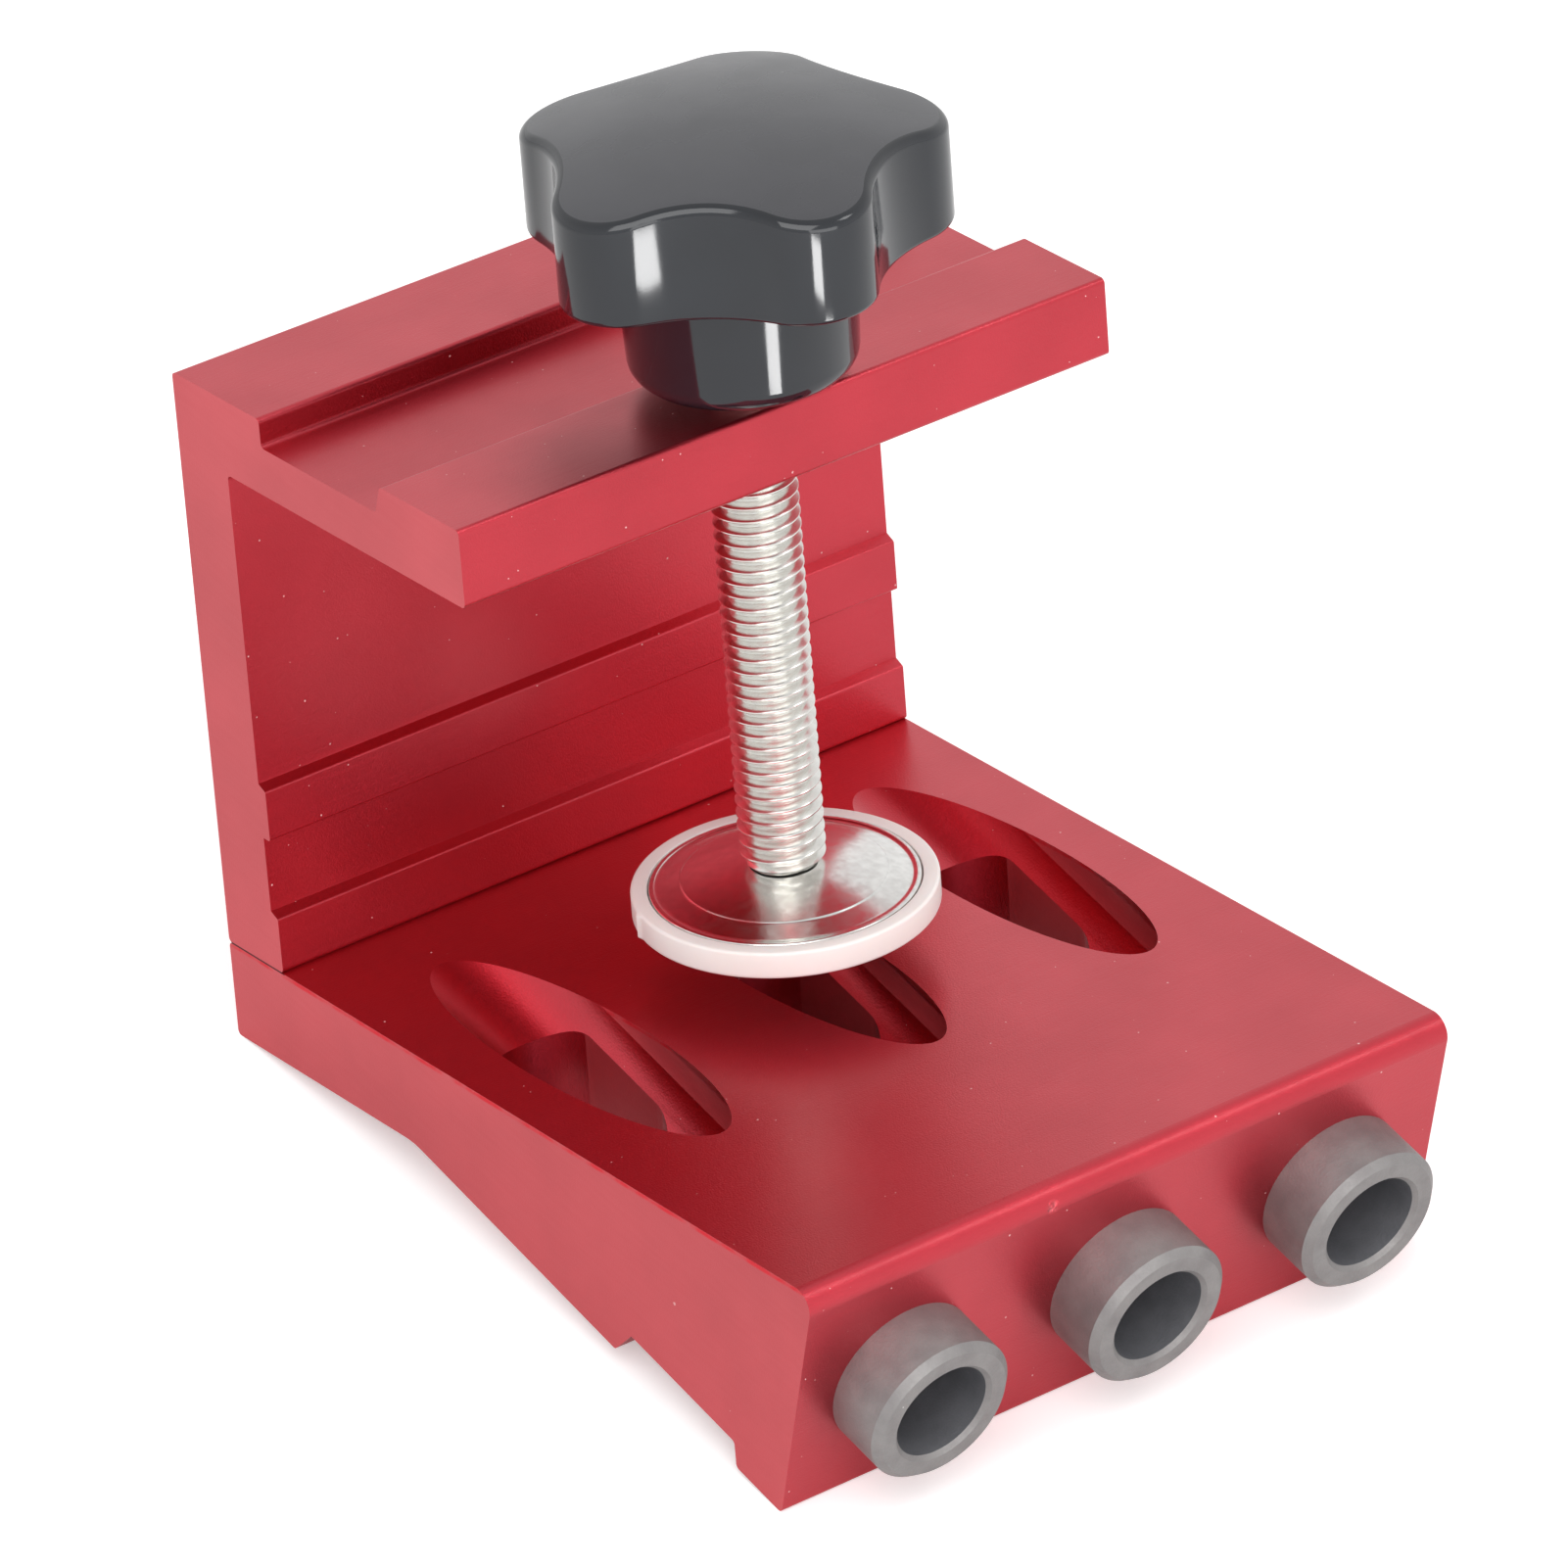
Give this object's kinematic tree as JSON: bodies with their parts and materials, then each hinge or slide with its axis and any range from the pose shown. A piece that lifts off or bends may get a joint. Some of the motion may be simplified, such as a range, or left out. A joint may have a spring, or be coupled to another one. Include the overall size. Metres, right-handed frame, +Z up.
{
  "type": "pocket hole jig",
  "caption": "Compact drilling jig: a wedge-shaped base with steel guide bushes at a shallow angle, and an overhead bracket with a screw clamp, star knob and swivel pad.",
  "frame": {"origin": "middle of the overall box's underside, on the bench that the jig stands on as pictured", "axes": "+X along the width, to the right seen from the bushes; +Y from the bushes back to the upright plate; +Z up. The base's top leans back from level by 10.63 degrees, as the wedge stands"},
  "size_m": [0.07, 0.102, 0.0987],
  "materials": {
    "red_anodised": "satin red anodised",
    "bush_steel": "hardened, dull grey",
    "screw_steel": "black oxide",
    "plated_steel": "bright zinc plated",
    "black_plastic": "gloss moulded",
    "bright_steel": "polished plated",
    "white_nylon": "smooth moulded"
  },
  "bodies": {
    "jig": {"base_block": "red_anodised", "clamp_frame": "red_anodised", "drill_bush_left": "bush_steel", "drill_bush_middle": "bush_steel", "drill_bush_right": "bush_steel", "frame_screw_left": "screw_steel", "frame_screw_middle": "screw_steel", "frame_screw_right": "screw_steel"},
    "pad": {"pad_disc": "bright_steel", "pad_cap": "white_nylon"},
    "handle": {"clamp_screw": "plated_steel", "star_knob": "black_plastic"}
  },
  "joints": [
    {"name": "clamp_travel", "type": "slide", "parent": "jig", "child": "pad", "axis": [0, 0.1845, 0.9828], "range_m": [-0.0013, 0.0393]},
    {"name": "screw_turn", "type": "hinge", "parent": "pad", "child": "handle", "pos_m": [0, 0.00911, 0.04568], "axis": [0, 0.1845, 0.9828], "continuous": true}
  ],
  "couplings": [
    {"joint": "screw_turn", "follows": "clamp_travel", "rad_per_m": 5026.5}
  ]
}
